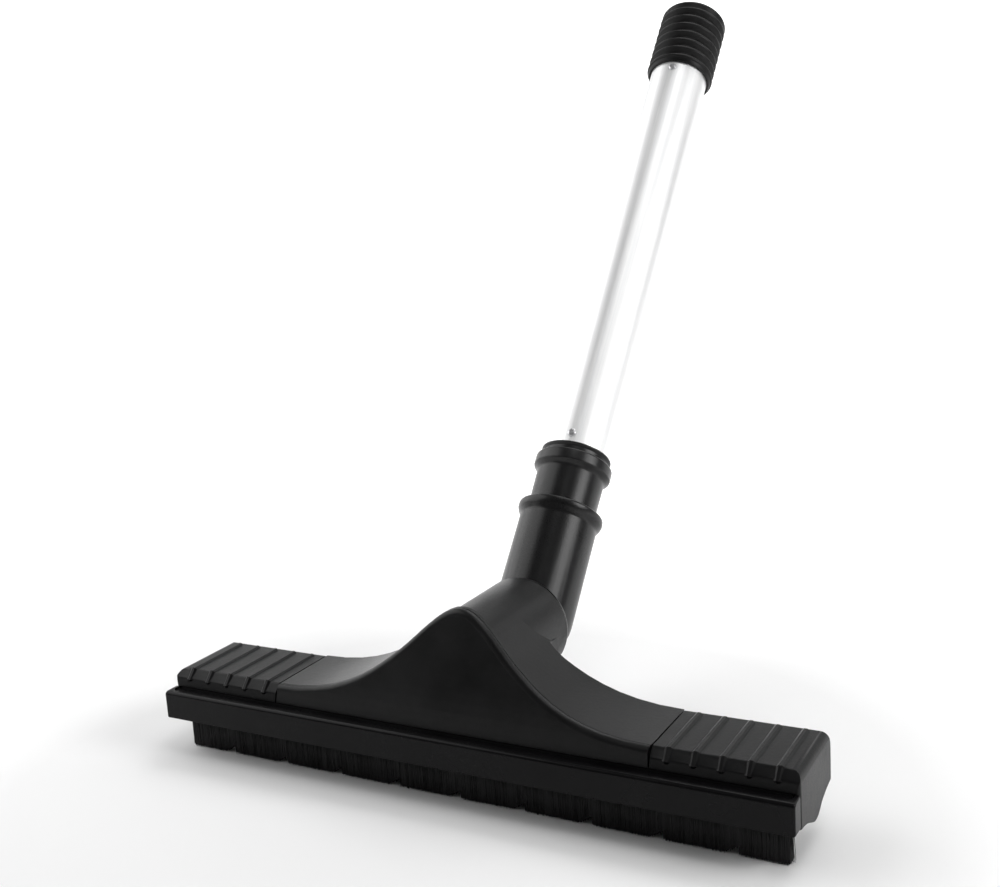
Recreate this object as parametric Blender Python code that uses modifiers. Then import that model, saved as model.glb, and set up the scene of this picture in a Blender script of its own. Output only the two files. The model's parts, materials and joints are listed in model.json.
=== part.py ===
"""Wet and dry floor tool: a 360 mm floor head, a swivel elbow and a short aluminium wand.

Lengths are in millimetres. The head is drawn with X along it, Y from its front face to the back and Z up
from the bottom edge of its front bar. The neck and the wand are drawn with Z along their own axes.
"""

import math

import bmesh
import bpy
from mathutils import Matrix, Vector

MM = 0.001
STEPS = 40  # sides of a turned piece
GAP = 0.3  # between pieces that touch

# Head
HEAD_LENGTH = 360.0
BAR_DEPTH = 9.3
BAR_HEIGHT = 15.6
TIP_DROP = 21.2  # bristle tips below the bar
SEAM_X = 108.5  # middle of the slit between the hump and an end cap
CAP_END_X = 179.7
BASE_END_X = 176.3
FOOT_LEAN, TOP_LEAN = 0.2, 0.37  # how far the front face leans back per unit of height
BEND_HEIGHT = 25.0  # the lean grows over this height
WALL = 2.4
CAP_TOP_Z = 25.1
BACK_Y = 58.0
CAP_EDGE_R = 5.0  # along the top of an end cap's outer end
CHAMFER, CHAMFER_Z = 4.2, 20.9  # along the top of an end cap's front: its size and its lower edge
RIM_R = 3.2  # rounding of the front face's upper edge
RIM_DEPTH = 5.4  # how far back the raised rim reaches
RIB_X, RIB_PITCH, RIB_COUNT = 116.98, 13.13, 5
RIB_R, RIB_SUNK = 2.4, 1.2  # a rib's round top and how deep its middle lies

# Brush and blade
BRISTLE_END_X = 174.3
BRISTLE_Y = (12.3, 18.6)
NOTCH_X, NOTCH_PITCH, NOTCH_COUNT = -143.4, 36.66, 9
NOTCH_WIDTH, NOTCH_HEIGHT = 7.0, 4.0
BLADE_END_X = 160.0

# Neck, elbow and wand
NECK_Z = 43.5
NECK_R = 26.94
NECK_END_Y = 96.8
ELBOW_Y = 106.85  # where the wand's axis crosses the neck's
WAND_RISE = 49.4  # degrees above the floor
BARREL_R = 22.68
BARREL_END = 66.0
TUBE_R, TUBE_WALL = 19.0, 1.2
TUBE_START, TUBE_END = 103.1, 419.0
RIVET_AT = (108.8, 388.1)
RIVET_TURN = -81.5  # degrees round the wand from +X
CUFF_START, CUFF_END = 392.6, 445.5
CUFF_RIB, CUFF_PITCH, CUFF_COUNT = 396.3, 6.95, 7
CUFF_CREST_R, CUFF_VALLEY_R, CUFF_RIB_R = 22.4, 20.2, 1.6

ORIGIN_Y = 206.1  # middle of the whole tool behind the head's front face

SCREW_XY = [(-84.0, 47.5), (-40.0, 47.5), (40.0, 47.5), (84.0, 47.5)]

HEAD = Matrix.Translation((0, -ORIGIN_Y * MM, TIP_DROP * MM))
NECK = HEAD @ Matrix.Translation((0, 0, NECK_Z * MM)) @ Matrix.Rotation(math.radians(-90), 4, "X")
WAND = (
    HEAD
    @ Matrix.Translation((0, ELBOW_Y * MM, NECK_Z * MM))
    @ Matrix.Rotation(math.radians(WAND_RISE - 90), 4, "X")
)
ALONG_X = Matrix(((0, 0, 1, 0), (1, 0, 0, 0), (0, 1, 0, 0), (0, 0, 0, 1)))
ALONG_Y = Matrix(((1, 0, 0, 0), (0, 0, -1, 0), (0, 1, 0, 0), (0, 0, 0, 1)))
ALONG_Z = Matrix.Identity(4)

for old in list(bpy.data.objects):
    bpy.data.objects.remove(old)

PARTS = bpy.data.collections.new("wet_dry_floor_scrubber")
CUTTERS = bpy.data.collections.new("cutters")
for group in (PARTS, CUTTERS):
    bpy.context.scene.collection.children.link(group)


def material(name, colour, roughness, metallic=0.0):
    made = bpy.data.materials.new(name)
    made.use_nodes = True
    shader = made.node_tree.nodes["Principled BSDF"]
    shader.inputs["Base Color"].default_value = (*colour, 1)
    shader.inputs["Roughness"].default_value = roughness
    shader.inputs["Metallic"].default_value = metallic
    return made


BODY_PLASTIC = material("black_textured_plastic", (0.018, 0.018, 0.019), 0.55)
CAP_PLASTIC = material("black_cap_plastic", (0.02, 0.02, 0.021), 0.5)
BAR_PLASTIC = material("black_satin_plastic", (0.022, 0.022, 0.024), 0.38)
BASE_PLASTIC = material("black_base_plastic", (0.016, 0.016, 0.017), 0.6)
ELBOW_PLASTIC = material("black_elbow_plastic", (0.02, 0.02, 0.021), 0.42)
SPINE_PLASTIC = material("grey_spine_plastic", (0.05, 0.05, 0.052), 0.55)
BRISTLE = material("black_nylon_bristle", (0.012, 0.012, 0.013), 0.5)
BLADE_RUBBER = material("black_blade_rubber", (0.02, 0.02, 0.02), 0.75)
CUFF_RUBBER = material("black_cuff_rubber", (0.014, 0.014, 0.014), 0.7)
SEAL_RUBBER = material("black_seal_rubber", (0.015, 0.015, 0.015), 0.6)
ALUMINIUM = material("satin_aluminium", (0.84, 0.85, 0.86), 0.32, 1.0)
STEEL = material("zinc_plated_steel", (0.6, 0.6, 0.6), 0.35, 1.0)


def add(name, data, matrix, look):
    """look is a material for a part, or None for a cutter."""
    obj = bpy.data.objects.new(name, data)
    (PARTS if look else CUTTERS).objects.link(obj)
    obj.matrix_world = matrix
    if look:
        data.materials.append(look)
    else:
        obj.hide_render = True
        obj.display_type = "WIRE"
    return obj


def turned(name, outline, matrix, look=None, steps=STEPS):
    """Outline is (radius, height) pairs, down the outside and up the inside of a ring.

    A solid's outline starts and ends on the axis.
    """
    solid = outline[0][0] == 0
    count = len(outline)
    edges = [(i, (i + 1) % count) for i in range(count - solid)]
    mesh = bpy.data.meshes.new(name)
    mesh.from_pydata([(r * MM, 0, z * MM) for r, z in outline], edges, [])
    obj = add(name, mesh, matrix, look)
    screw = obj.modifiers.new("Turn", "SCREW")
    screw.steps = screw.render_steps = steps
    screw.use_merge_vertices = True
    screw.merge_threshold = 0.00001
    screw.use_smooth_shade = True
    return obj


def evaluated_mesh(obj):
    bpy.context.view_layer.update()
    graph = bpy.context.evaluated_depsgraph_get()
    return bpy.data.meshes.new_from_object(obj.evaluated_get(graph))


def extruded(name, outline, start, end, turn, matrix=HEAD, look=None):
    """A flat outline pushed from start to end along X, Y or Z, as turn says."""
    curve = bpy.data.curves.new(name + "_outline", "CURVE")
    curve.dimensions = "2D"
    curve.fill_mode = "BOTH"
    curve.extrude = abs(end - start) / 2 * MM
    spline = curve.splines.new("POLY")
    spline.points.add(len(outline) - 1)
    for point, (u, v) in zip(spline.points, outline):
        point.co = (u * MM, v * MM, 0, 1)
    spline.use_cyclic_u = True
    drawn = bpy.data.objects.new(name + "_outline", curve)
    CUTTERS.objects.link(drawn)
    mesh = evaluated_mesh(drawn)
    bpy.data.objects.remove(drawn)
    mesh.name = name
    along = Vector([abs(part) for part in turn.col[2][:3]])
    mesh.transform(Matrix.Translation(along * (start + end) / 2 * MM) @ turn)
    shape = bmesh.new()
    shape.from_mesh(mesh)
    bmesh.ops.remove_doubles(shape, verts=shape.verts, dist=0.000001)
    bmesh.ops.dissolve_limit(shape, angle_limit=0.002, verts=shape.verts, edges=shape.edges)
    bmesh.ops.recalc_face_normals(shape, faces=shape.faces)
    shape.to_mesh(mesh)
    shape.free()
    return add(name, mesh, matrix, look)


def box(name, low, high, matrix=HEAD, look=None):
    mesh = bpy.data.meshes.new(name)
    shape = bmesh.new()
    bmesh.ops.create_cube(shape, size=MM)
    size = [h - l for l, h in zip(low, high)]
    bmesh.ops.scale(shape, vec=size, verts=shape.verts)
    bmesh.ops.translate(shape, vec=[(l + h) / 2 * MM for l, h in zip(low, high)], verts=shape.verts)
    shape.to_mesh(mesh)
    shape.free()
    return add(name, mesh, matrix, look)


def rod(name, radius, start, end, matrix, look=None, steps=24):
    """A cylinder along local Z."""
    return turned(name, [(0, end), (radius, end), (radius, start), (0, start)], matrix, look, steps)


def tube_along(name, points, radius, matrix=HEAD, sides=2):
    """A round bead along a path."""
    curve = bpy.data.curves.new(name, "CURVE")
    curve.dimensions = "3D"
    curve.bevel_depth = radius * MM
    curve.bevel_resolution = sides
    curve.use_fill_caps = True
    spline = curve.splines.new("POLY")
    spline.points.add(len(points) - 1)
    for point, place in zip(spline.points, points):
        point.co = (*(value * MM for value in place), 1)
    drawn = bpy.data.objects.new(name + "_path", curve)
    CUTTERS.objects.link(drawn)
    mesh = evaluated_mesh(drawn)
    bpy.data.objects.remove(drawn)
    shape = bmesh.new()
    shape.from_mesh(mesh)
    bmesh.ops.remove_doubles(shape, verts=shape.verts, dist=0.000001)
    bmesh.ops.recalc_face_normals(shape, faces=shape.faces)
    shape.to_mesh(mesh)
    shape.free()
    return add(name, mesh, matrix, None)


def boolean(obj, operation, *tools):
    for tool in tools:
        step = obj.modifiers.new(tool.name, "BOOLEAN")
        step.operation = operation
        step.object = tool
    return obj


def cut(obj, *tools):
    return boolean(obj, "DIFFERENCE", *tools)


def join(obj, *tools):
    return boolean(obj, "UNION", *tools)


def rounded_rim(obj, axis, ends_at, width, segments=3):
    """Rounds the rims at the named ends of an extruded piece."""
    mesh = obj.data
    weights = mesh.attributes.new("bevel_weight_edge", "FLOAT", "EDGE")
    for edge in mesh.edges:
        ends = [mesh.vertices[i].co for i in edge.vertices]
        for at in ends_at:
            if all(abs(p[axis] - at * MM) < 0.00001 for p in ends):
                weights.data[edge.index].value = 1.0
    bevel = obj.modifiers.new("Rim", "BEVEL")
    bevel.limit_method = "WEIGHT"
    bevel.width = width * MM
    bevel.segments = segments
    return obj


def shade_smooth(obj):
    for face in obj.data.polygons:
        face.use_smooth = True


def arc(cu, cv, radius, start, end, count):
    """Points round a corner, angles in degrees."""
    turns = [math.radians(start + (end - start) * i / count) for i in range(count + 1)]
    return [(cu + radius * math.cos(a), cv + radius * math.sin(a)) for a in turns]


def bezier(a, b, c, d, count):
    """Points after a and up to d."""
    found = []
    for i in range(1, count + 1):
        t = i / count
        w = ((1 - t) ** 3, 3 * t * (1 - t) ** 2, 3 * t * t * (1 - t), t**3)
        found.append(tuple(w[0] * p + w[1] * q + w[2] * r + w[3] * s for p, q, r, s in zip(a, b, c, d)))
    return found


def half_bell(top, crest, shoulder_in, shoulder, shoulder_out, foot_in, foot, count=9):
    """Right half of the hump's outline, from its top to its foot, as (x, z)."""
    start = (0.0, top)
    return [start] + bezier(start, crest, shoulder_in, shoulder, count) + bezier(
        shoulder, shoulder_out, foot_in, foot, count
    )


def mirrored(half):
    """A whole outline from its right half, left to right."""
    return [(-x, z) for x, z in reversed(half[1:])] + half


RIM = half_bell(74.5, (11, 74.5), (21, 61.9), (33, 51.9), (48, 40.5), (66, 25.0), (107.9, 25.2))
CREST = half_bell(70.7, (12, 70.7), (21.5, 59.9), (32.4, 51.0), (48, 40.2), (67, 24.9), (108.1, 25.1))


def inset(half, distance):
    """The same outline moved inwards."""
    moved = []
    for i, (x, z) in enumerate(half):
        before, after = half[max(i - 1, 0)], half[min(i + 1, len(half) - 1)]
        dx, dz = after[0] - before[0], after[1] - before[1]
        if i == 0:
            dz = 0.0
        length = math.hypot(dx, dz)
        moved.append((x + dz / length * distance, z - dx / length * distance))
    return moved


def face_y(z, behind=0.0):
    """The front face at a height: nearly upright at its foot, leaning back above."""
    rise = z - BAR_HEIGHT - GAP
    bend = min(max(rise, 0.0), BEND_HEIGHT)
    lean = bend * bend / (2 * BEND_HEIGHT) + max(rise - BEND_HEIGHT, 0.0)
    return BAR_DEPTH + behind + FOOT_LEAN * rise + (TOP_LEAN - FOOT_LEAN) * lean


def face_line(low, high, behind=0.0):
    """The front face's profile, from low to high."""
    bends = [BAR_HEIGHT + GAP + BEND_HEIGHT * i / 5 for i in range(6)]
    heights = [low, *[z for z in bends if low < z < high], high]
    return [(face_y(z, behind), z) for z in heights]


# Outside, from the back wall down, round the lower edge and up the inside
REAR_SKIRT = [(61.2, 14.6), (63.4, 3.2), (63.2, 2.2), (61.3, 1.8), (59.9, 9.0), (57.6, 15.9)]


def make_shoulder(side, sign):
    """The web that carries the hump's back edge on along the neck."""
    start = (44, BACK_Y)
    plan = [(10, 50), (44, 50), start, *bezier(start, (32, 58.5), (26.9, 66), (26.9, 84), 6), (10, 84)]
    web = extruded(side + "_shoulder", [(sign * x, y) for x, y in plan], 20, 66, ALONG_Z)
    top = (56.4, 62)
    fall = [(40, 10), (40, 80), top, *bezier(top, (59, 52), (65, 43.5), (84, 43.5), 7), (90, 10)]
    fall = extruded(side + "_shoulder_fall", fall, -60, 60, ALONG_X)
    under = extruded(side + "_shoulder_top", [(-70, 10), *mirrored(CREST), (70, 10)], 40, 90, ALONG_Y)
    return boolean(web, "INTERSECT", fall, under)


def make_rim(foot):
    """The front face and the raised rim round it: a plate, the band behind it and the round edge between."""
    end = SEAM_X - 0.4
    rounded = mirrored(inset(RIM, RIM_R))
    plate = extruded("face_plate", [(-end, foot), *rounded, (end, foot)], 0, 60, ALONG_Y)
    band = extruded("rim_band", [(-end, foot), *mirrored(RIM), (end, foot)], 0, 60, ALONG_Y)
    for piece, front, back in ((plate, 0.0, RIM_R + 0.4), (band, RIM_R, RIM_DEPTH)):
        slab = [*face_line(foot, 90, front), *reversed(face_line(foot, 90, back))]
        boolean(piece, "INTERSECT", extruded(piece.name + "_slab", slab, -end - 2, end + 2, ALONG_X))
    edge = [(x, face_y(z, RIM_R), z) for x, z in rounded]
    return plate, band, tube_along("rim_edge", edge, RIM_R, sides=5)


def make_upper_shell():
    """The hump and neck: one hollow moulding with a skirt behind the base."""
    half = SEAM_X - 0.4
    foot = BAR_HEIGHT + GAP
    shell = extruded(
        "upper_shell", [(-half, 1.0), *mirrored(CREST), (half, 1.0)], 8.0, 66.0, ALONG_Y, look=BODY_PLASTIC
    )
    side = [*face_line(foot, 90, RIM_R), *arc(BACK_Y - 2, 88, 2.0, 90, 0, 2), (BACK_Y, 24.6), *REAR_SKIRT]
    boolean(shell, "INTERSECT", extruded("shell_side", side, -half - 2, half + 2, ALONG_X))
    neck = turned(
        "neck_outside",
        [(0, NECK_END_Y), *arc(NECK_R - 1.1, NECK_END_Y - 1.1, 1.1, 90, 0, 3), (NECK_R, 24), (0, 24)],
        NECK,
    )
    cut(neck, extruded("neck_front", [(-10, -10), *face_line(0, 90), (-10, 90)], -60, 60, ALONG_X))
    join(shell, neck, make_shoulder("left", -1), make_shoulder("right", 1), *make_rim(foot))
    inner = half - WALL
    hollow_top = [(max(-inner, min(inner, x)), z) for x, z in mirrored(inset(CREST, WALL))]
    hollow = extruded("shell_hollow", [(-inner, 8.0), *hollow_top, (inner, 8.0)], 5.0, 70.0, ALONG_Y)
    inside = [*face_line(9, 90, 2.8), (BACK_Y - WALL, 90), (BACK_Y - WALL, 20.5), (57.0, 16.4), (57.0, 9)]
    boolean(hollow, "INTERSECT", extruded("shell_inside", inside, -half, half, ALONG_X))
    bore = turned(
        "neck_bore",
        [(0, 100), (24.1, 100), (24.1, 97), (23.6, 96.3), (23.6, 79), (25, 79), (25, 31.5), (0, 31.5)],
        NECK,
    )
    cut(shell, hollow, bore)
    for i, (x, y) in enumerate(SCREW_XY):
        roof = 42.0 if abs(x) < 60 else 25.6
        at = HEAD @ Matrix.Translation((x * MM, y * MM, 0))
        join(shell, rod(f"boss_{i}", 3.8, 4.3, roof, at))
        cut(shell, rod(f"boss_hole_{i}", 1.8, 2.0, 17.0, at, steps=16))
    for side_name, sign in (("left", -1), ("right", 1)):
        xs = sorted((sign * (inner - 2.0), sign * (half + 2.0)))
        cut(shell, box(f"{side_name}_tongue_slot", (xs[0], 23.6, 8.0), (xs[1], 44.4, 18.7)))
    return shell


def t_slot(middle, neck, head, heights):
    """A T-shaped outline: half widths of its neck and head, and its foot, shoulder and top heights."""
    foot, shoulder, top = heights
    half = [(neck, foot), (neck, shoulder), (head, shoulder), (head, top)]
    return [(middle - y, z) for y, z in half] + [(middle + y, z) for y, z in reversed(half)]


def make_base_frame():
    """The lower moulding: suction windows, a channel for each strip and screw wells."""
    outline = [
        (9.6, 15.4), (9.6, -0.8), (9.9, -1.1), (19.6, -2.2), (25.3, -4.7), (30.2, -6.9), (33.0, -7.6),
        (36.0, -7.5), (39.0, -6.7), (43.6, -4.1), (47.1, -2.3), (52.4, -0.8), (58.5, 0.4), (60.3, 2.4),
        (59.4, 9.0), (57.1, 15.4),
    ]
    base = extruded("base_frame", outline, -BASE_END_X, BASE_END_X, ALONG_X, look=BASE_PLASTIC)
    cut(base, box("tray", (-103.5, 21.0, 4.0), (103.5, 53.0, 20.0)))
    for i, (low, high) in enumerate(((-148.0, -51.5), (-48.5, 48.5), (51.5, 148.0))):
        cut(base, box(f"suction_window_{i}", (low, 20.8, -15.0), (high, 31.6, 12.6)))
    cut(base, extruded("brush_channel", t_slot(15.65, 1.95, 3.25, (-6, 1.2, 7.6)), -190, 190, ALONG_X))
    cut(base, extruded("blade_channel", t_slot(39.0, 2.2, 3.6, (-12, -3.8, 1.2)), -190, 190, ALONG_X))
    for i, (x, y) in enumerate(SCREW_XY):
        at = HEAD @ Matrix.Translation((x * MM, y * MM, 0))
        well = [(0, 6), (1.8, 6), (1.8, 1.2), (3.6, 1.2), (3.6, -12), (0, -12)]
        cut(base, turned(f"screw_well_{i}", well, at, steps=24))
    return base


def make_front_bar():
    """The long satin bar across the front, with a raised lip round a shallow ledge."""
    outline = [
        (BAR_DEPTH, BAR_HEIGHT), *arc(2.0, BAR_HEIGHT - 2.0, 2.0, 90, 180, 4),
        *arc(0.8, 0.8, 0.8, 180, 270, 2), (BAR_DEPTH, 0.0),
    ]
    end = HEAD_LENGTH / 2
    bar = extruded("front_bar", outline, -end, end, ALONG_X, look=BAR_PLASTIC)
    rounded_rim(bar, 0, (-end, end), 1.2, 3)
    corner, lip = 4.0, 2.4
    ledge = [
        (lip - end, 20), *arc(lip + corner - end, 3.2 + corner, corner, 180, 270, 4),
        *arc(end - lip - corner, 3.2 + corner, corner, 270, 360, 4), (end - lip, 20),
    ]
    cut(bar, extruded("ledge", ledge, BAR_HEIGHT - 1.1, 30.0, ALONG_Z))
    return bar


def make_brush():
    spine = t_slot(15.65, 1.65, 2.95, (-2.2, 1.5, 7.3))
    extruded("front_brush_spine", spine, -BRISTLE_END_X, BRISTLE_END_X, ALONG_X, look=SPINE_PLASTIC)
    low, high = -TIP_DROP, -2.5
    outline = [(-BRISTLE_END_X, high), (-BRISTLE_END_X, low)]
    for i in range(NOTCH_COUNT):
        x = NOTCH_X + i * NOTCH_PITCH
        outline += [(x - NOTCH_WIDTH, low), (x, low + NOTCH_HEIGHT), (x + 0.05, low)]
    outline += [(BRISTLE_END_X, low), (BRISTLE_END_X, high)]
    extruded("front_bristles", outline, *BRISTLE_Y, ALONG_Y, look=BRISTLE)


def make_blade():
    holder = t_slot(39.0, 1.9, 3.3, (-7.4, -3.5, 0.9))
    extruded("rear_blade_holder", holder, -BLADE_END_X, BLADE_END_X, ALONG_X, look=SPINE_PLASTIC)
    half = [(1.1, -TIP_DROP), (1.1, -11.4), (2.3, -10.2), (2.3, -7.7)]
    blade = [(39.1 - y, z) for y, z in half] + [(39.1 + y, z) for y, z in reversed(half)]
    extruded("rear_squeegee_blade", blade, -BLADE_END_X, BLADE_END_X, ALONG_X, look=BLADE_RUBBER)


def make_rib(name, x):
    """A rounded rib over a cap's top, running a little way down its front and back."""
    deep = RIB_SUNK
    line = [
        (face_y(CHAMFER_Z, deep + 1.2), CHAMFER_Z - 2.5), (face_y(CHAMFER_Z, deep), CHAMFER_Z - 0.6),
        (face_y(CHAMFER_Z, CHAMFER + 0.5), CAP_TOP_Z - deep), (BACK_Y - 3.6, CAP_TOP_Z - deep),
        (BACK_Y - 1.3, 21.8), (BACK_Y - 0.9, 19.0),
    ]
    return tube_along(name, [(x, y, z) for y, z in line], RIB_R, sides=3)


def make_end_cap(side, sign):
    """A ribbed cap that slides out along the head to let the strips out."""
    low, high = (face_y(CHAMFER_Z), CHAMFER_Z), (face_y(CHAMFER_Z, CHAMFER), CAP_TOP_Z)
    from_face = (face_y(CHAMFER_Z - 1), CHAMFER_Z - 1)
    outline = [
        (9.6, 15.9), *face_line(15.9, CHAMFER_Z - 1),
        *bezier(from_face, low, low, (low[0] + 0.8, low[1] + 0.8), 3), (high[0] - 0.8, high[1] - 0.8),
        *bezier((high[0] - 0.8, high[1] - 0.8), high, high, (high[0] + 1, high[1]), 3),
        *arc(BACK_Y - 1.6, 23.5, 1.6, 90, 15, 3), *REAR_SKIRT[:3], (62.4, 0.6), (58.6, -0.1), (52.4, -1.3),
        (47.1, -2.8), (44.2, -3.9), (41.1, -6.0), (38.6, -7.4), (35.5, -8.1), (32.8, -8.1), (30.3, -7.4),
        (20.7, -3.2), (15.9, -2.0), (10.0, -1.4), (9.6, -1.0),
    ]
    start, end = sorted((sign * (SEAM_X + 0.4), sign * CAP_END_X))
    cap = extruded(side + "_end_cap", outline, start, end, ALONG_X, look=CAP_PLASTIC)
    rounded_rim(cap, 0, (sign * CAP_END_X,), 0.7, 2)
    flat = CAP_END_X - CAP_EDGE_R
    edge = arc(flat, CAP_TOP_Z - CAP_EDGE_R, CAP_EDGE_R, 0, 90, 7)
    front = [(90, -20), (CAP_END_X, -20), *edge, (flat - 1.2, 40), (90, 40)]
    plan = [
        (90, 0), (CAP_END_X - 2.5, 0), *arc(CAP_END_X - 2.5, BAR_DEPTH + 2.5, 2.5, 270, 360, 4),
        *arc(CAP_END_X - 4, 59.6, 4, 0, 90, 4), (90, 63.6),
    ]
    front = extruded(side + "_cap_front", [(sign * x, z) for x, z in front], 0, 80, ALONG_Y)
    plan = extruded(side + "_cap_plan", [(sign * x, y) for x, y in plan], -20, 50, ALONG_Z)
    boolean(cap, "INTERSECT", front, plan)
    join(cap, *[make_rib(f"{side}_rib_{i}", sign * (RIB_X + i * RIB_PITCH)) for i in range(RIB_COUNT)])
    inside = [
        (0, -20), (0, 15.9), (11.9, 15.9), (12.6, 19.9), (15.4, 22.7), (BACK_Y - 4, 22.7),
        (BACK_Y - 2.2, 20.0), (59.9, 9.0), (61.3, 1.8), (80, 1.8), (80, -20),
    ]
    reach = sorted((sign * (SEAM_X - 8), sign * 176.8))
    hollow = extruded(side + "_cap_inside", inside, *reach, ALONG_X)
    roof = [(90, -30), (176.8, -30), *arc(173.2, 19.1, 3.6, 0, 90, 4), (90, 22.7)]
    roof = extruded(side + "_cap_inside_end", [(sign * x, z) for x, z in roof], -10, 90, ALONG_Y)
    cut(cap, boolean(hollow, "INTERSECT", roof))
    tongue = sorted((sign * 92.0, sign * 177.6))
    web = sorted((sign * 112.0, sign * 174.0))
    join(cap, box(side + "_tongue", (tongue[0], 24.0, 16.0), (tongue[1], 44.0, 18.3)))
    join(cap, box(side + "_web", (web[0], 33.0, 17.2), (web[1], 35.0, 23.4)))
    return cap


def make_shell_screws():
    """Four identical screws, up through the base into the shell's bosses."""
    outline = [
        (0, 16.0), (0.9, 16.0), (1.5, 14.6), (1.5, 0.9), (3.2, 0.9), (3.2, -0.4), (2.6, -1.1), (1.1, -1.1),
        (1.1, -0.2), (0, -0.2),
    ]
    for i, (x, y) in enumerate(SCREW_XY):
        at = HEAD @ Matrix.Translation((x * MM, y * MM, 0))
        turned(f"shell_screw_{i + 1}", outline, at, STEEL, 16)


def make_neck_rings():
    turned("elbow_snap_ring", [(24.7, 78.6), (24.7, 75.5), (22.3, 75.5), (22.3, 78.6)], NECK, SPINE_PLASTIC)
    turned("neck_seal_ring", arc(22.4, 87.5, 0.85, 90, -225, 7), NECK, SEAL_RUBBER)


def make_elbow():
    """A round bend: a spigot that turns in the neck, and a socket for the wand."""
    elbow = turned(
        "elbow",
        [
            (0, BARREL_END), (23.6, BARREL_END), *arc(23.5, BARREL_END - 1.5, 1.5, 60, 0, 3), (25.0, 62.6),
            (24.4, 61.0), (23.2, 59.0), (BARREL_R, 57.2), *arc(0, 0, BARREL_R, 0, -80, 8), (0, -BARREL_R),
        ],
        WAND,
        ELBOW_PLASTIC,
    )
    spigot = turned(
        "spigot",
        [
            (0, 104.5), (22.3, 104.5), (22.3, 100.6), (24.4, 99.8), (25.9, 98.8), (26.2, 97.7), (23.25, 97.7),
            (23.25, 88.9), (21.2, 88.9), (21.2, 86.1), (23.25, 86.1), (23.25, 78.9), (22.0, 78.9),
            (22.0, 75.2), (23.25, 75.2), (22.6, 73.6), (0, 73.6),
        ],
        NECK,
    )
    join(elbow, spigot)
    socket = turned(
        "socket",
        [
            (0, 70), (21.4, 70), (21.4, 65.6), (20.1, 63.8), (20.1, 55.0), (21.3, 55.0), (21.3, 52.0),
            (20.1, 52.0), (20.1, 28.0), (19.2, 27.0), *arc(0, 0, 19.2, 0, -80, 8), (0, -19.2),
        ],
        WAND,
    )
    passage = turned("passage", [(0, 105.0), (18.9, 105.0), (18.9, 70), (0, 70)], NECK)
    cut(elbow, socket, passage)
    turned("socket_seal_ring", [(21.0, 54.7), (21.0, 52.3), (19.95, 52.3), (19.95, 54.7)], WAND, SEAL_RUBBER)
    return elbow


def rivet_frame(height, turn):
    """Local Z points out of the wand's side."""
    return (
        WAND
        @ Matrix.Translation((0, 0, height * MM))
        @ Matrix.Rotation(math.radians(turn), 4, "Z")
        @ Matrix.Rotation(math.radians(90), 4, "Y")
    )


def rivet_holes(obj, height, inner, outer):
    for i in range(2):
        at = rivet_frame(height, RIVET_TURN + 180 * i)
        cut(obj, rod(f"{obj.name}_hole_{round(height)}_{i}", 1.75, inner, outer, at, steps=16))


def make_wand():
    fitting = turned(
        "wand_lower_fitting",
        [
            (17.1, 131.0), (17.45, 130.2), (17.45, 102.9), *arc(20.2, 102.2, 0.7, 90, -60, 4), (19.7, 100.6),
            (19.7, 98.2), *arc(21.6, 96.4, 1.3, 80, 0, 3), *arc(21.5, 91.6, 1.4, 0, -50, 2), (20.9, 88.9),
            (20.05, 87.4), (19.75, 68.0), (19.45, 31.5), (18.7, 29.0), (16.6, 29.0), (16.6, 92.0),
            (15.3, 97.0), (15.3, 131.0),
        ],
        WAND,
        ELBOW_PLASTIC,
    )
    rivet_holes(fitting, RIVET_AT[0], 10, 30)
    bore = TUBE_R - TUBE_WALL
    tube = turned(
        "aluminium_tube",
        [(TUBE_R, TUBE_END), (TUBE_R, TUBE_START), (bore, TUBE_START), (bore, TUBE_END)],
        WAND,
        ALUMINIUM,
        64,
    )
    for height in RIVET_AT:
        rivet_holes(tube, height, 10, 30)
    sleeve = turned(
        "cuff_inner_sleeve",
        [(17.45, 441.0), (17.45, 378.6), (17.0, 378.0), (15.3, 378.0), (15.3, 441.0)],
        WAND,
        ELBOW_PLASTIC,
    )
    rivet_holes(sleeve, RIVET_AT[1], 10, 30)


def make_rivets(name, height):
    """A pair of dome-headed blind rivets on opposite sides, each with its broken mandrel in the middle."""
    outline = [
        (0, 19.75), (0.75, 19.75), (0.85, 20.15), (1.4, 20.15), (2.1, 19.9), (2.5, 19.5), (2.55, 19.2),
        (1.45, 19.2), (1.45, 15.5), (0, 15.5),
    ]
    for side, turn in (("front", 0), ("back", 180)):
        turned(f"{name}_rivet_{side}", outline, rivet_frame(height, RIVET_TURN + turn), STEEL, 16)


def make_cuff():
    """A ribbed rubber cuff over the tube's end and the sleeve in it."""
    outline = [(16.4, CUFF_END), (19.0, CUFF_END), *arc(18.9, CUFF_END - 3.4, 3.4, 70, 15, 3)]
    for i in reversed(range(CUFF_COUNT)):
        middle = CUFF_RIB + i * CUFF_PITCH
        outline += arc(CUFF_CREST_R - CUFF_RIB_R, middle, CUFF_RIB_R, 65, -65, 4)
        if i:
            low = middle - CUFF_PITCH / 2
            outline += [(CUFF_VALLEY_R, low + 0.6), (CUFF_VALLEY_R, low - 0.6)]
    outline += [(21.0, CUFF_START + 0.6), (20.6, CUFF_START), (19.3, CUFF_START), (19.3, TUBE_END + GAP)]
    outline += [(17.75, TUBE_END + GAP), (17.75, 441.3), (15.8, 441.3), (15.8, CUFF_END - 0.8)]
    turned("ribbed_cuff", outline, WAND, CUFF_RUBBER)


make_upper_shell()
make_base_frame()
make_front_bar()
make_brush()
make_blade()
make_end_cap("left", -1)
make_end_cap("right", 1)
make_shell_screws()
make_neck_rings()
make_elbow()
make_wand()
make_rivets("lower", RIVET_AT[0])
make_rivets("upper", RIVET_AT[1])
make_cuff()

for piece in PARTS.objects:
    shade_smooth(piece)
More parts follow.
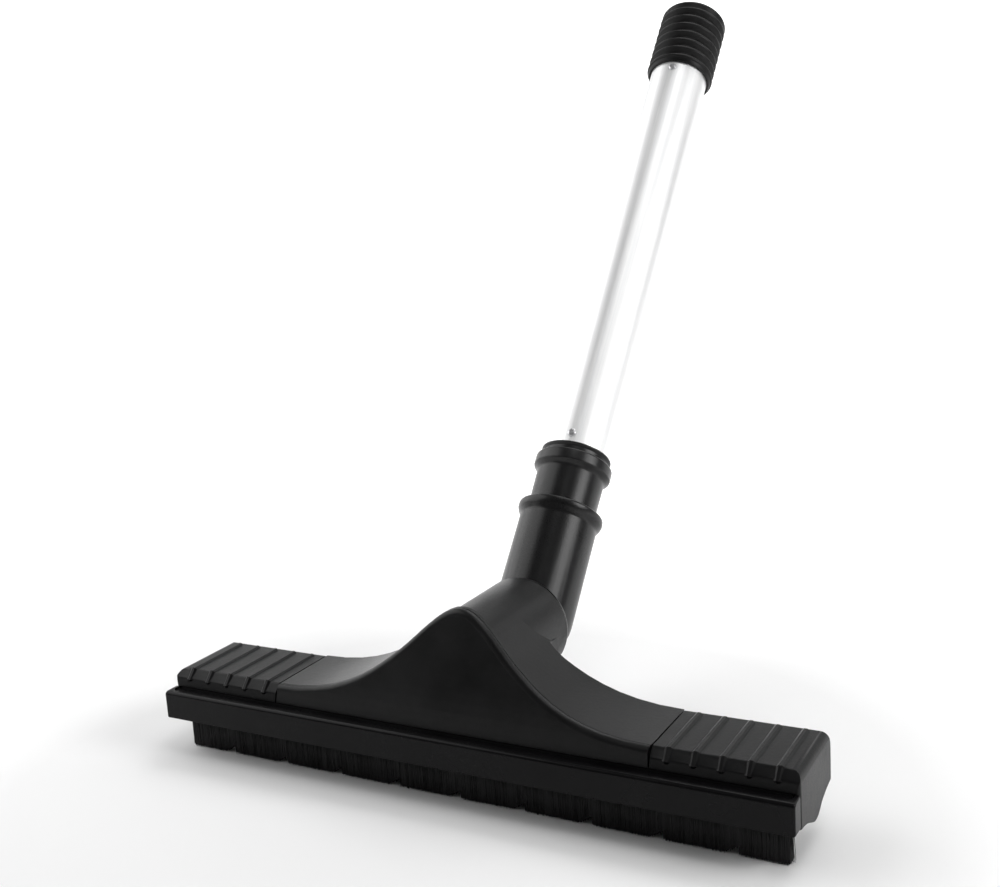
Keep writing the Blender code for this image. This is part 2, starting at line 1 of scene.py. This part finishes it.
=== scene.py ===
"""Looks for the wet and dry floor tool: materials, smooth surfaces, bristles, studio and camera."""

import json
import math
import random

import bmesh
import bpy
from mathutils import Matrix, Vector

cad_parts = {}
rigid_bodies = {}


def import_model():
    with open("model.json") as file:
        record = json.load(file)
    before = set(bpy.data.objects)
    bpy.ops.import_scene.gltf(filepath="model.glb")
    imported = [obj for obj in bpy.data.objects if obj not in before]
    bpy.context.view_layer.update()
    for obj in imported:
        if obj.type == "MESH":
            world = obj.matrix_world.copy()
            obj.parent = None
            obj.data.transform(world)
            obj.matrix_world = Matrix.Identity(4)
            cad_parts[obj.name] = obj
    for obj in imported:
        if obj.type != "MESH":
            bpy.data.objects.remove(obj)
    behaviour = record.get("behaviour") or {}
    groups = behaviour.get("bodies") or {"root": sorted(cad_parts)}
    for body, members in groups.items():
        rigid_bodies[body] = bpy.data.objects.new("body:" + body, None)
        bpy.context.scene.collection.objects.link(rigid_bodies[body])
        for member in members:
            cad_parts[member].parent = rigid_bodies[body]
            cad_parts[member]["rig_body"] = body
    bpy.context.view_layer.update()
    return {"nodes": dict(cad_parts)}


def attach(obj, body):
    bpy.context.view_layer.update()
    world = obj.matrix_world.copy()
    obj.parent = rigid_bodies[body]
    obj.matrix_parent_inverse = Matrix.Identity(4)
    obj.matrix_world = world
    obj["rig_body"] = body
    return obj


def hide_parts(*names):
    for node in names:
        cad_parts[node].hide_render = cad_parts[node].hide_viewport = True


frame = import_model()
nodes = frame["nodes"]

MM = 0.001
ORIGIN_Y = 206.1  # the head's front face lies this far in front of the origin
TIP_DROP = 21.2  # bristle tips below the front bar
WAND_RISE = 49.4  # degrees between the wand and the floor
WAND_TURN = math.radians(WAND_RISE - 90)


def head(x, y, z):
    """A point of the floor head: y from its front face, z from the bar's bottom edge, in mm."""
    return Vector((x * MM, (y - ORIGIN_Y) * MM, (z + TIP_DROP) * MM))


ELBOW = head(0, 106.85, 43.5)  # where the neck's axis and the wand's axis meet


# ---------------------------------------------------------------- materials


class Nodes:
    """A new material with short names for building its node tree."""

    def __init__(self, name):
        self.material = bpy.data.materials.new(name)
        self.material.use_nodes = True
        self.tree = self.material.node_tree
        self.shader = self.tree.nodes["Principled BSDF"]
        self.place = self.tree.nodes.new("ShaderNodeTexCoord").outputs["Object"]

    def node(self, kind, inputs=None, **settings):
        """A node whose inputs are each set to a value or linked to a socket."""
        made = self.tree.nodes.new(kind)
        for key, value in settings.items():
            setattr(made, key, value)
        for key, value in (inputs or {}).items():
            if isinstance(value, bpy.types.NodeSocket):
                self.tree.links.new(value, made.inputs[key])
            else:
                made.inputs[key].default_value = value
        return made

    def along_wand(self, stretch=(1, 1, 1)):
        """Coordinates with Z along the wand."""
        local = self.node(
            "ShaderNodeMapping",
            {"Vector": self.place, "Location": ELBOW, "Rotation": (WAND_TURN, 0, 0)},
            vector_type="TEXTURE",
        )
        scaled = self.node(
            "ShaderNodeMapping", {"Vector": local.outputs[0], "Scale": stretch}, vector_type="POINT"
        )
        return scaled.outputs[0]

    def noise(self, scale, detail=2.0, roughness=0.5, vector=None):
        made = self.node(
            "ShaderNodeTexNoise",
            {"Vector": vector or self.place, "Scale": scale, "Detail": detail, "Roughness": roughness},
        )
        return made.outputs["Fac"]

    def ramp(self, value, low, high, out_low, out_high):
        """Carries low to high over to out_low to out_high, and holds the ends."""
        made = self.node(
            "ShaderNodeMapRange",
            {0: value, 1: low, 2: high, 3: out_low, 4: out_high},
        )
        return made.outputs[0]

    def colours(self, value, stops):
        """A blend between two stops, each (position, colour)."""
        made = self.node("ShaderNodeValToRGB", {"Fac": value})
        for element, (at, colour) in zip(made.color_ramp.elements, stops):
            element.position = at
            element.color = (*colour, 1)
        return made.outputs["Color"]

    def link(self, value, socket):
        self.tree.links.new(value, self.shader.inputs[socket])

    def bumps(self, *layers):
        """Layers are (height, strength, distance), coarse first."""
        normal = None
        for height, strength, distance in layers:
            inputs = {"Height": height, "Strength": strength, "Distance": distance}
            if normal:
                inputs["Normal"] = normal
            normal = self.node("ShaderNodeBump", inputs).outputs[0]
        self.link(normal, "Normal")


def plastic(name, colour, roughness, grain=1500.0, depth=0.5, level=0.5, spread=0.08):
    """Moulded plastic: a fine spark-eroded grain, with slow changes in colour and gloss."""
    n = Nodes(name)
    cloudy = n.noise(22.0, 4.0, 0.6)
    lighter = tuple(min(1, c * 1.5 + 0.004) for c in colour)
    n.link(n.colours(cloudy, [(0.3, colour), (0.75, lighter)]), "Base Color")
    fine = n.noise(grain, 3.0, 0.65)
    gloss = n.node("ShaderNodeMath", {0: cloudy, 1: n.ramp(fine, 0.3, 0.7, -0.25, 0.25)}, operation="ADD")
    n.link(n.ramp(gloss.outputs[0], 0.1, 0.9, roughness - spread, roughness + spread), "Roughness")
    n.shader.inputs["Specular IOR Level"].default_value = level
    n.bumps((n.noise(grain * 0.28, 2.0, 0.5), 0.12 * depth, 0.0004), (fine, 0.3 * depth, 0.00012))
    return n.material


def rubber(name, colour, roughness, level=0.4):
    """Moulded rubber, a little dusty."""
    n = Nodes(name)
    dust = n.noise(60.0, 5.0, 0.6)
    lighter = tuple(c * 2.0 + 0.006 for c in colour)
    n.link(n.colours(dust, [(0.35, colour), (0.8, lighter)]), "Base Color")
    fine = n.noise(2600.0, 2.0, 0.6)
    n.link(n.ramp(dust, 0.2, 0.8, roughness - 0.07, roughness + 0.09), "Roughness")
    n.shader.inputs["Specular IOR Level"].default_value = level
    n.bumps((n.noise(380.0, 3.0), 0.1, 0.0004), (fine, 0.2, 0.0001))
    return n.material


def aluminium(name):
    """Satin anodised tube, drawn lengthwise."""
    n = Nodes(name)
    drawn = n.noise(900.0, 3.0, 0.6, n.along_wand((1, 1, 0.012)))
    soft = n.noise(90.0, 2.0, 0.5, n.along_wand((1, 1, 0.05)))
    n.link(n.colours(drawn, [(0.3, (0.86, 0.865, 0.87)), (0.7, (0.93, 0.93, 0.925))]), "Base Color")
    n.shader.inputs["Metallic"].default_value = 1.0
    n.link(n.ramp(soft, 0.3, 0.7, 0.44, 0.52), "Roughness")
    n.bumps((drawn, 0.06, 0.00006), (n.noise(3000.0, 1.0), 0.05, 0.00003))
    return n.material


def steel(name):
    """Zinc-plated steel with fine scuffs."""
    n = Nodes(name)
    scuff = n.noise(1800.0, 4.0, 0.7)
    n.link(n.colours(scuff, [(0.3, (0.42, 0.42, 0.43)), (0.75, (0.66, 0.66, 0.67))]), "Base Color")
    n.shader.inputs["Metallic"].default_value = 1.0
    n.link(n.ramp(scuff, 0.2, 0.8, 0.28, 0.45), "Roughness")
    n.bumps((scuff, 0.12, 0.0001))
    return n.material


def nylon(name):
    """Black filaments: colour and gloss change from strand to strand."""
    n = Nodes(name)
    strand = n.node("ShaderNodeMapping", {"Vector": n.place, "Scale": (1, 1, 0.02)}, vector_type="POINT")
    vary = n.noise(1400.0, 2.0, 0.6, strand.outputs[0])
    n.link(n.colours(vary, [(0.3, (0.0022, 0.0022, 0.0025)), (0.75, (0.009, 0.0088, 0.0095))]), "Base Color")
    n.link(n.ramp(vary, 0.2, 0.8, 0.34, 0.55), "Roughness")
    n.shader.inputs["Specular IOR Level"].default_value = 0.2
    n.bumps((vary, 0.15, 0.0001))
    return n.material


SHELL = plastic("shell_grain", (0.0022, 0.0022, 0.0024), 0.36, 1700.0, 0.9, 0.24)
CAP = plastic("cap_grain", (0.0022, 0.0022, 0.0024), 0.34, 1700.0, 0.9, 0.16)
BAR = plastic("bar_satin", (0.0018, 0.0017, 0.002), 0.25, 2400.0, 0.4, 0.12, 0.05)
BASE = plastic("base_matte", (0.005, 0.005, 0.0053), 0.55, 1500.0, 1.0, 0.3)
ELBOW_BLACK = plastic("elbow_semi_matte", (0.004, 0.004, 0.0042), 0.3, 2000.0, 0.6, 0.32, 0.05)
SPINE = plastic("spine_dark_grey", (0.02, 0.02, 0.021), 0.5, 1500.0, 0.7)
CUFF = rubber("cuff_rubber_black", (0.002, 0.002, 0.002), 0.4, 0.17)
SEAL = rubber("seal_rubber_black", (0.008, 0.008, 0.008), 0.5)
BLADE = rubber("blade_rubber_black", (0.01, 0.01, 0.01), 0.6)
TUBE = aluminium("tube_satin_anodised")
STEEL = steel("fastener_zinc")
BRISTLE = nylon("bristle_nylon")

# ---------------------------------------------------------------- pieces

LOOKS = {  # each CAD node's material and the record's slot for it
    "upper_shell": (SHELL, "shell_plastic"),
    "base_frame": (BASE, "base_plastic"),
    "front_bar": (BAR, "bar_plastic"),
    "front_brush_spine": (SPINE, "spine_plastic"),
    "rear_blade_holder": (SPINE, "spine_plastic"),
    "rear_squeegee_blade": (BLADE, "blade_rubber"),
    "left_end_cap": (CAP, "cap_plastic"),
    "right_end_cap": (CAP, "cap_plastic"),
    "elbow": (ELBOW_BLACK, "elbow_plastic"),
    "elbow_snap_ring": (SPINE, "spine_plastic"),
    "neck_seal_ring": (SEAL, "seal_rubber"),
    "socket_seal_ring": (SEAL, "seal_rubber"),
    "wand_lower_fitting": (ELBOW_BLACK, "elbow_plastic"),
    "aluminium_tube": (TUBE, "tube_aluminium"),
    "cuff_inner_sleeve": (ELBOW_BLACK, "elbow_plastic"),
    "ribbed_cuff": (CUFF, "cuff_rubber"),
}
for fastener in nodes:
    if "screw" in fastener or "rivet" in fastener:
        LOOKS[fastener] = (STEEL, "fastener_steel")


WELD = 0.000002  # points nearer than this are one point
FLAT_WITHIN = 0.003  # radians between faces that count as one flat face
SMOOTH_BELOW = math.radians(32)  # a bend that is shaded smooth


def piece(name, mesh, look, body, slot, *stands_for):
    """An object that rides on a body and stands for CAD nodes."""
    mesh.materials.clear()
    mesh.materials.append(look)
    obj = bpy.data.objects.new(name, mesh)
    bpy.context.scene.collection.objects.link(obj)
    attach(obj, body)
    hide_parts(*stands_for)
    return obj


def softened(node, look, slot):
    """The node's own shape, welded, with soft bends shaded smooth and flat faces kept flat."""
    mesh = nodes[node].data.copy()
    shape = bmesh.new()
    shape.from_mesh(mesh)
    bmesh.ops.remove_doubles(shape, verts=shape.verts, dist=WELD)
    bmesh.ops.dissolve_limit(shape, angle_limit=FLAT_WITHIN, verts=shape.verts, edges=shape.edges)
    bmesh.ops.recalc_face_normals(shape, faces=shape.faces)
    for edge in shape.edges:
        edge.smooth = len(edge.link_faces) == 2 and edge.calc_face_angle(0) < SMOOTH_BELOW
    for face in shape.faces:
        face.smooth = True
    shape.to_mesh(mesh)
    shape.free()
    mesh.name = node + "_surface"
    body = nodes[node]["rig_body"]
    obj = piece(node + "_surface", mesh, look, body, slot, node)
    flats = obj.modifiers.new("Flat faces", "WEIGHTED_NORMAL")
    flats.mode = "FACE_AREA"
    flats.keep_sharp = True


for node, (look, slot) in LOOKS.items():
    softened(node, look, slot)


# The bristle strip, in the head's millimetres.
BRISTLE_END_X = 174.3
BRISTLE_FRONT, BRISTLE_BACK = 12.3, 18.6
ROOT_Z = -2.6
NOTCH_X, NOTCH_PITCH, NOTCH_COUNT = -143.4, 36.66, 9
NOTCH_WIDTH, NOTCH_HEIGHT = 7.0, 4.0
NOTCH_WALL = 0.05  # a notch's steep side is this wide in the core
CORE_INSET, CORE_END_INSET, CORE_SHORTER = 0.25, 0.5, 0.9  # core inside the strip's sides, ends, tips
ROW_INSET, ROW_END_INSET, ROW_PITCH = 0.3, 0.5, 0.62  # the outer rows of whole filaments
TIP_ROW_COUNT, TIP_ROW_STEP, TIP_ROW_PITCH, TIP_ROW_HEIGHT = 5, 0.95, 0.85, 5.0  # tips over the core
TIP_END_INSET, TIP_SIDE_INSET = 0.3, 0.25  # no tip passes these
LONGEST_WEAR = 1.2  # the most that a tip falls short by
END_STRANDS, END_STRAND_R, END_STRAND_INSET = 9, 0.2, 0.4  # loose filaments at each end
SEED = 7


def tip_height(x):
    """How far a bristle at x stops short of the floor: 0 except in the slanted notches."""
    for i in range(NOTCH_COUNT):
        right = NOTCH_X + i * NOTCH_PITCH
        if right - NOTCH_WIDTH < x <= right:
            return NOTCH_HEIGHT * (x - right + NOTCH_WIDTH) / NOTCH_WIDTH
    return 0.0


FILAMENT_SIDES = 3
FILAMENT_TURN = 2.1  # radians: any turn up to one of its three sides
FILAMENT_TAPER = ((0.0, 1.0), (0.55, 0.95), (1.0, 0.6))  # (part of its length, part of its radius)


def strand(shape, start, end, radius, chance):
    """A thin three-sided filament, bent a little and tapered."""
    turn = chance.uniform(0, FILAMENT_TURN)
    bow = Vector((chance.gauss(0, 0.1), chance.gauss(0, 0.05), 0))
    rings = []
    for t, size in FILAMENT_TAPER:
        centre = start.lerp(end, t) + bow * (4 * t * (1 - t))
        angles = [turn + k * 2 * math.pi / FILAMENT_SIDES for k in range(FILAMENT_SIDES)]
        ring = [centre + Vector((math.cos(a), math.sin(a), 0)) * radius * size for a in angles]
        rings.append([shape.verts.new(head(*p)) for p in ring])
    for a, b in zip(rings, rings[1:]):
        for k in range(FILAMENT_SIDES):
            after = (k + 1) % FILAMENT_SIDES
            shape.faces.new((a[k], a[after], b[after], b[k])).smooth = True
    shape.faces.new(rings[-1])
    shape.faces.new(list(reversed(rings[0])))


def packed_core(shape):
    """The tightly packed middle of the strip, a little smaller than its outline."""
    end = BRISTLE_END_X - CORE_END_INSET
    xs = [-end]
    for i in range(NOTCH_COUNT):
        right = NOTCH_X + i * NOTCH_PITCH
        xs += [right - NOTCH_WIDTH, right, right + NOTCH_WALL]
    xs.append(end)
    profile = [(x, CORE_SHORTER - TIP_DROP + tip_height(x)) for x in xs]
    lines = []
    for y in (BRISTLE_FRONT + CORE_INSET, BRISTLE_BACK - CORE_INSET):
        lines.append([shape.verts.new(head(x, y, z)) for x, z in profile])
        lines.append([shape.verts.new(head(x, y, ROOT_Z)) for x, z in profile])
    front_low, front_top, back_low, back_top = lines
    strips = ((front_top, front_low), (back_low, back_top), (front_low, back_low), (back_top, front_top))
    for a, b in strips:
        for k in range(len(profile) - 1):
            shape.faces.new((a[k], a[k + 1], b[k + 1], b[k]))
    for k, order in ((0, (0, 1, 3, 2)), (-1, (0, 2, 3, 1))):
        shape.faces.new([lines[i][k] for i in order])


def bristles():
    """Nylon filaments in close rows over a packed core, cut to the strip's notched outline."""
    chance = random.Random(SEED)
    shape = bmesh.new()
    packed_core(shape)
    first, last = BRISTLE_FRONT + ROW_INSET, BRISTLE_BACK - ROW_INSET
    rows = [(first, ROW_PITCH, ROOT_Z), (last, ROW_PITCH, ROOT_Z)]
    for step in range(1, TIP_ROW_COUNT + 1):
        rows.append((first + step * TIP_ROW_STEP, TIP_ROW_PITCH, TIP_ROW_HEIGHT - TIP_DROP))
    row_end, tip_end = BRISTLE_END_X - ROW_END_INSET, BRISTLE_END_X - TIP_END_INSET
    for row_y, pitch, top in rows:
        for i in range(int(2 * row_end / pitch)):
            x = -row_end + (i + 0.5) * pitch + chance.uniform(-0.2, 0.2)
            low = tip_height(x)
            tip = low + 0.02 + min(abs(chance.gauss(0, 0.28)), LONGEST_WEAR)
            start = Vector((x, row_y, top + low))
            end = Vector((x + chance.gauss(0, 0.3), row_y + chance.gauss(0, 0.1), tip - TIP_DROP))
            end.x = max(-tip_end, min(tip_end, end.x))
            end.y = max(BRISTLE_FRONT + TIP_SIDE_INSET, min(BRISTLE_BACK - TIP_SIDE_INSET, end.y))
            strand(shape, start, end, chance.uniform(0.22, 0.32), chance)
    nearest, furthest = BRISTLE_FRONT + END_STRAND_INSET, BRISTLE_BACK - END_STRAND_INSET
    for side in (-1, 1):
        for k in range(END_STRANDS):
            root = side * (BRISTLE_END_X - chance.uniform(0.2, 0.8))
            start = Vector((root, chance.uniform(nearest, furthest), ROOT_Z))
            tip = chance.uniform(0.1, 2.0) - TIP_DROP
            end = Vector((root + side * chance.uniform(-0.4, 1.8), start.y, tip))
            strand(shape, start, end, END_STRAND_R, chance)
    mesh = bpy.data.meshes.new("bristle_filaments")
    bmesh.ops.recalc_face_normals(shape, faces=shape.faces)
    shape.to_mesh(mesh)
    shape.free()
    piece("bristle_filaments", mesh, BRISTLE, nodes["front_bristles"]["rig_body"], "bristle", "front_bristles")


bristles()

# ---------------------------------------------------------------- studio


VIEW_YAW, VIEW_PITCH, VIEW_ROLL = 29.31, 11.86, -3.64  # degrees: round from +Y, down, and its lean
CAMERA_AT = head(330.54, -506.51, 290.84)
LENS = 46.95
LIGHTS_AIM = Vector((0.0, 0.0, 0.12))
WORLD_LIGHT = 0.1


def paper_with_painted_glow():
    """White paper: lit by the lights, with a painted glow of its own that grows away from the tool, leaves a
    painted shadow under it and fades out up the backdrop.
    """
    n = Nodes("studio_paper_painted_glow")
    n.shader.inputs["Base Color"].default_value = (0.9, 0.9, 0.9, 1)
    n.shader.inputs["Roughness"].default_value = 0.9
    n.shader.inputs["Specular IOR Level"].default_value = 0.1
    n.shader.inputs["Emission Color"].default_value = (1, 1, 1, 1)
    split = n.node("ShaderNodeSeparateXYZ", {"Vector": n.place})
    under_head = (-0.1, -0.17, 0.0)
    away = n.node("ShaderNodeVectorMath", {0: n.place, 1: under_head}, operation="DISTANCE")
    # painted shadow: no glow within 0.24 m of the point under the head, rising to 0.46 by 0.5 m, so the floor
    # round the tool stays darker
    glow_past_painted_shadow = n.ramp(away.outputs["Value"], 0.24, 0.5, 0.0, 0.46)
    far = n.ramp(away.outputs["Value"], 0.9, 3.0, 0.0, 0.5)
    # the painted glow fades out above about 1 m, so the backdrop is darker there
    fade = n.ramp(split.outputs["Z"], 0.98, 1.3, 1.0, 0.05)
    whole = n.node("ShaderNodeMath", {0: glow_past_painted_shadow, 1: far}, operation="ADD")
    glow = n.node("ShaderNodeMath", {0: whole.outputs[0], 1: fade}, operation="MULTIPLY")
    n.link(glow.outputs[0], "Emission Strength")
    return n.material


def stage_sweep():
    """A pale floor that curves up into a backdrop."""
    front, back, half_width = -12.0, 2.2, 12.0
    radius, steps, wall_top = 1.2, 12, 5.0
    profile = [(front, 0.0), (back, 0.0)]
    for i in range(1, steps + 1):
        a = math.radians(90 * i / steps)
        profile.append((back + radius * math.sin(a), radius - radius * math.cos(a)))
    profile.append((back + radius, wall_top))
    shape = bmesh.new()
    rows = [[shape.verts.new((x, y, z)) for x in (-half_width, half_width)] for y, z in profile]
    for a, b in zip(rows, rows[1:]):
        shape.faces.new((a[0], a[1], b[1], b[0])).smooth = True
    mesh = bpy.data.meshes.new("studio_sweep")
    shape.to_mesh(mesh)
    shape.free()
    mesh.materials.append(paper_with_painted_glow())
    sweep = bpy.data.objects.new("studio_sweep", mesh)
    bpy.context.scene.collection.objects.link(sweep)
    sweep.rotation_euler = (0, 0, math.radians(VIEW_YAW))


def softbox(name, azimuth, height, distance, size, radiance):
    """An area light that faces the tool: azimuth from +Y towards +X and height, both in degrees."""
    azimuth, height = math.radians(azimuth), math.radians(height)
    level = distance * math.cos(height)
    away = Vector((level * math.sin(azimuth), level * math.cos(azimuth), distance * math.sin(height)))
    light = bpy.data.lights.new(name, "AREA")
    light.shape = "RECTANGLE"
    light.size, light.size_y = size
    light.energy = radiance * math.pi * size[0] * size[1]
    lamp = bpy.data.objects.new(name, light)
    bpy.context.scene.collection.objects.link(lamp)
    lamp.location = LIGHTS_AIM + away
    lamp.rotation_euler = (-away).to_track_quat("-Z", "Y").to_euler()


stage_sweep()
softbox("left_box", -106, 33, 1.3, (1.5, 1.3), 2.0)
softbox("right_box", 91, 29, 1.3, (0.65, 0.6), 7.2)
softbox("top_box", 120, 72, 1.6, (0.8, 0.6), 2.4)
softbox("right_back_box", 30, 33, 2.0, (0.8, 0.5), 1.4)
softbox("back_box", 8, 60, 2.6, (1.8, 1.1), 3.0)

world = bpy.data.worlds.new("studio")
bpy.context.scene.world = world
world.use_nodes = True
background = world.node_tree.nodes["Background"]
background.inputs["Color"].default_value = (1, 1, 1, 1)
background.inputs["Strength"].default_value = WORLD_LIGHT
bpy.context.scene.view_settings.view_transform = "Standard"

lens = bpy.data.cameras.new("camera")
lens.sensor_width = 36
lens.lens = LENS
camera = bpy.data.objects.new("camera", lens)
bpy.context.scene.collection.objects.link(camera)
yaw, pitch, roll = (math.radians(a) for a in (VIEW_YAW, VIEW_PITCH, VIEW_ROLL))
ahead = Vector((-math.sin(yaw) * math.cos(pitch), math.cos(yaw) * math.cos(pitch), -math.sin(pitch)))
level = Vector((math.cos(yaw), math.sin(yaw), 0))
upright = level.cross(ahead)
across = math.cos(roll) * level + math.sin(roll) * upright
up = -math.sin(roll) * level + math.cos(roll) * upright
turn = Matrix((across, up, -ahead)).transposed()
camera.matrix_world = Matrix.Translation(CAMERA_AT) @ turn.to_4x4()
bpy.context.scene.camera = camera
